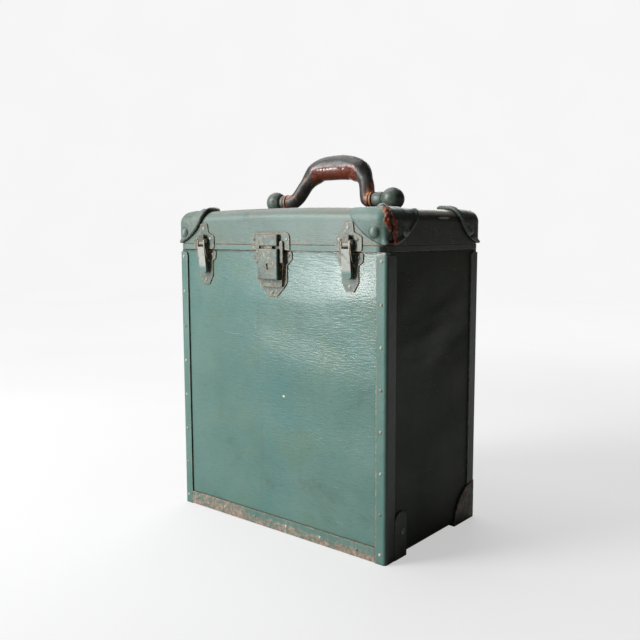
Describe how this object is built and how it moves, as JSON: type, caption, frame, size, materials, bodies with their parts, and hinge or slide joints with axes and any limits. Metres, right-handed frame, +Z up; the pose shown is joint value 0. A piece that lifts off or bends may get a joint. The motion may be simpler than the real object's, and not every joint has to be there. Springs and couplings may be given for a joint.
{
  "type": "hard-sided carrying case",
  "caption": "Tall hard-sided carrying case with a hinged crowned lid, draw latches, a centre lock, nailed edge bindings, leather corner caps and a swinging leather handle.",
  "frame": {"origin": "on the table, under the middle of the case", "axes": "+Z up, front with latches towards -Y, +X to the right seen from the front"},
  "size_m": [0.3014, 0.1895, 0.4052],
  "materials": {
    "painted_board": "fibre-faced board, painted, grained and scuffed",
    "binding_fibre": "pressed fibre strip, painted, worn at the edges",
    "painted_leather": "leather, painted over, cracked and worn to brown",
    "heel_leather": "leather, paint mostly worn off",
    "painted_fitting": "stamped sheet steel, painted over, rubbed bright on edges",
    "handle_leather": "rolled leather, dark, rubbed brown under the grip",
    "bare_wood": "plain softwood",
    "lining_paper": "plain paper, aged",
    "steel": "plain steel, dulled"
  },
  "bodies": {
    "case_body": {"front_board": "painted_board", "back_board": "painted_board", "left_board": "painted_board", "right_board": "painted_board", "bottom_board": "painted_board", "corner_battens": "bare_wood", "mouth_lip": "bare_wood", "body_lining": "lining_paper", "front_left_binding": "binding_fibre", "front_right_binding": "binding_fibre", "front_bottom_binding": "binding_fibre", "back_left_binding": "binding_fibre", "back_right_binding": "binding_fibre", "back_bottom_binding": "binding_fibre", "front_nails": "painted_fitting", "back_nails": "painted_fitting", "front_left_protector": "painted_leather", "front_right_protector": "painted_leather", "back_left_protector": "heel_leather", "back_right_protector": "heel_leather", "protector_rivets": "painted_fitting", "hinge_rail": "painted_board", "left_hinge_body_leaf": "painted_fitting", "right_hinge_body_leaf": "painted_fitting", "left_hinge_pin": "steel", "right_hinge_pin": "steel", "left_latch_base": "painted_fitting", "right_latch_base": "painted_fitting", "left_latch_studs": "steel", "right_latch_studs": "steel", "lock_plate": "painted_fitting", "lock_case": "painted_fitting", "body_rivets": "painted_fitting"},
    "lid": {"lid_shell": "painted_board", "lid_rim": "binding_fibre", "lid_lining": "lining_paper", "front_left_cap": "painted_leather", "front_right_cap": "painted_leather", "back_left_cap": "painted_leather", "back_right_cap": "painted_leather", "cap_rivets": "painted_fitting", "left_hinge_lid_leaf": "painted_fitting", "right_hinge_lid_leaf": "painted_fitting", "left_keeper": "painted_fitting", "right_keeper": "painted_fitting", "lock_strike": "painted_fitting", "lid_rivets": "painted_fitting", "left_handle_post": "painted_fitting", "right_handle_post": "painted_fitting"},
    "handle": {"handle_core": "steel", "handle_grip": "handle_leather", "handle_washers": "handle_leather"},
    "left_lever": {"left_lever": "painted_fitting", "left_hook_pin": "steel"},
    "left_hook": {"left_hook": "painted_fitting"},
    "right_lever": {"right_lever": "painted_fitting", "right_hook_pin": "steel"},
    "right_hook": {"right_hook": "painted_fitting"},
    "lock_bolt": {"lock_bolt": "steel"}
  },
  "joints": [
    {"name": "lid_hinge", "type": "hinge", "parent": "case_body", "child": "lid", "pos_m": [0, 0.09165, 0.3], "axis": [-1, 0, 0], "range_deg": [0, 165]},
    {"name": "handle_swing", "type": "hinge", "parent": "lid", "child": "handle", "pos_m": [0, 0.0065, 0.3532], "axis": [1, 0, 0], "range_deg": [-59, 105]},
    {"name": "left_lever_lift", "type": "hinge", "parent": "case_body", "child": "left_lever", "pos_m": [-0.101, -0.0925, 0.309], "axis": [-1, 0, 0], "range_deg": [0, 105]},
    {"name": "left_hook_turn", "type": "hinge", "parent": "left_lever", "child": "left_hook", "pos_m": [-0.101, -0.0925, 0.3052], "axis": [-1, 0, 0], "range_deg": [-94.5, 0]},
    {"name": "right_lever_lift", "type": "hinge", "parent": "case_body", "child": "right_lever", "pos_m": [0.101, -0.0925, 0.309], "axis": [-1, 0, 0], "range_deg": [0, 105]},
    {"name": "right_hook_turn", "type": "hinge", "parent": "right_lever", "child": "right_hook", "pos_m": [0.101, -0.0925, 0.3052], "axis": [-1, 0, 0], "range_deg": [-94.5, 0]},
    {"name": "lock_bolt_slide", "type": "slide", "parent": "case_body", "child": "lock_bolt", "axis": [1, 0, 0], "range_m": [0, 0.004]}
  ],
  "couplings": [
    {"joint": "left_hook_turn", "follows": "left_lever_lift", "ratio": -0.9},
    {"joint": "right_hook_turn", "follows": "right_lever_lift", "ratio": -0.9}
  ]
}
